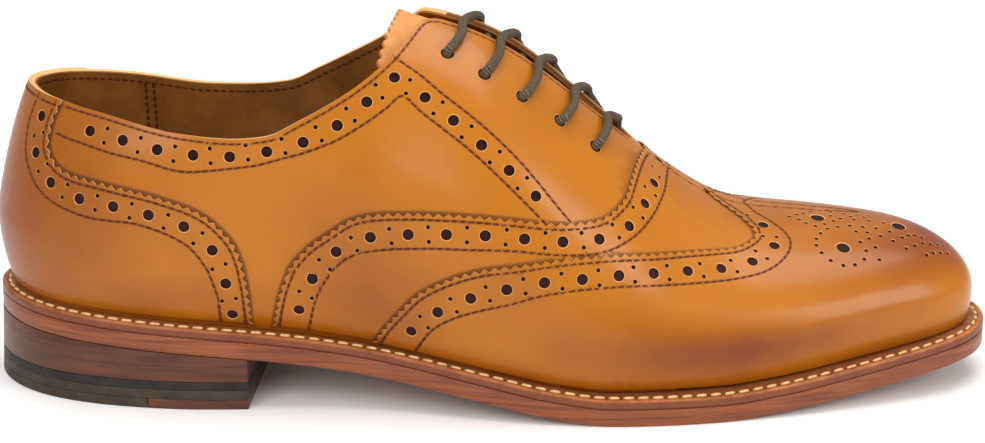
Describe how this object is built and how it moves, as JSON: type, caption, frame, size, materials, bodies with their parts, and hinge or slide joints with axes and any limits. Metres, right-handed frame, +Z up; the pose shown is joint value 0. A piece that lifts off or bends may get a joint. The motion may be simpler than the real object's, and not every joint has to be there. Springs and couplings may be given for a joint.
{
  "type": "brogue shoe",
  "caption": "Lace-up brogue dress shoe for the right foot, hollow leather upper with wing cap, stitched welt, leather sole and stacked heel.",
  "frame": {"origin": "centre of the shoe's bounding box, on the floor that it stands on", "axes": "+X from heel to toe, +Y towards the inner side of the foot, +Z up"},
  "size_m": [0.3046, 0.1018, 0.1146],
  "materials": {
    "tan_leather": "burnished tan calf, soft gloss",
    "tongue_leather": "light tan, matt",
    "lace_cotton": "round woven cotton, dark brown",
    "lining_leather": "brown lining leather, matt",
    "welt_leather": "stitched welt, waxed",
    "sole_leather": "stained and waxed sole leather",
    "band_rubber": "near black, matt",
    "heel_rubber": "dark olive grey, matt"
  },
  "bodies": {
    "root": {"upper": "tan_leather", "counter": "tan_leather", "vamp": "tan_leather", "wing_cap": "tan_leather", "tongue": "tongue_leather", "lace": "lace_cotton", "insole": "lining_leather", "welt": "welt_leather", "outsole": "sole_leather", "heel_stack": "sole_leather", "heel_band": "band_rubber", "heel_rubber": "heel_rubber", "top_piece": "heel_rubber", "top_piece_insert": "sole_leather"}
  },
  "joints": []
}
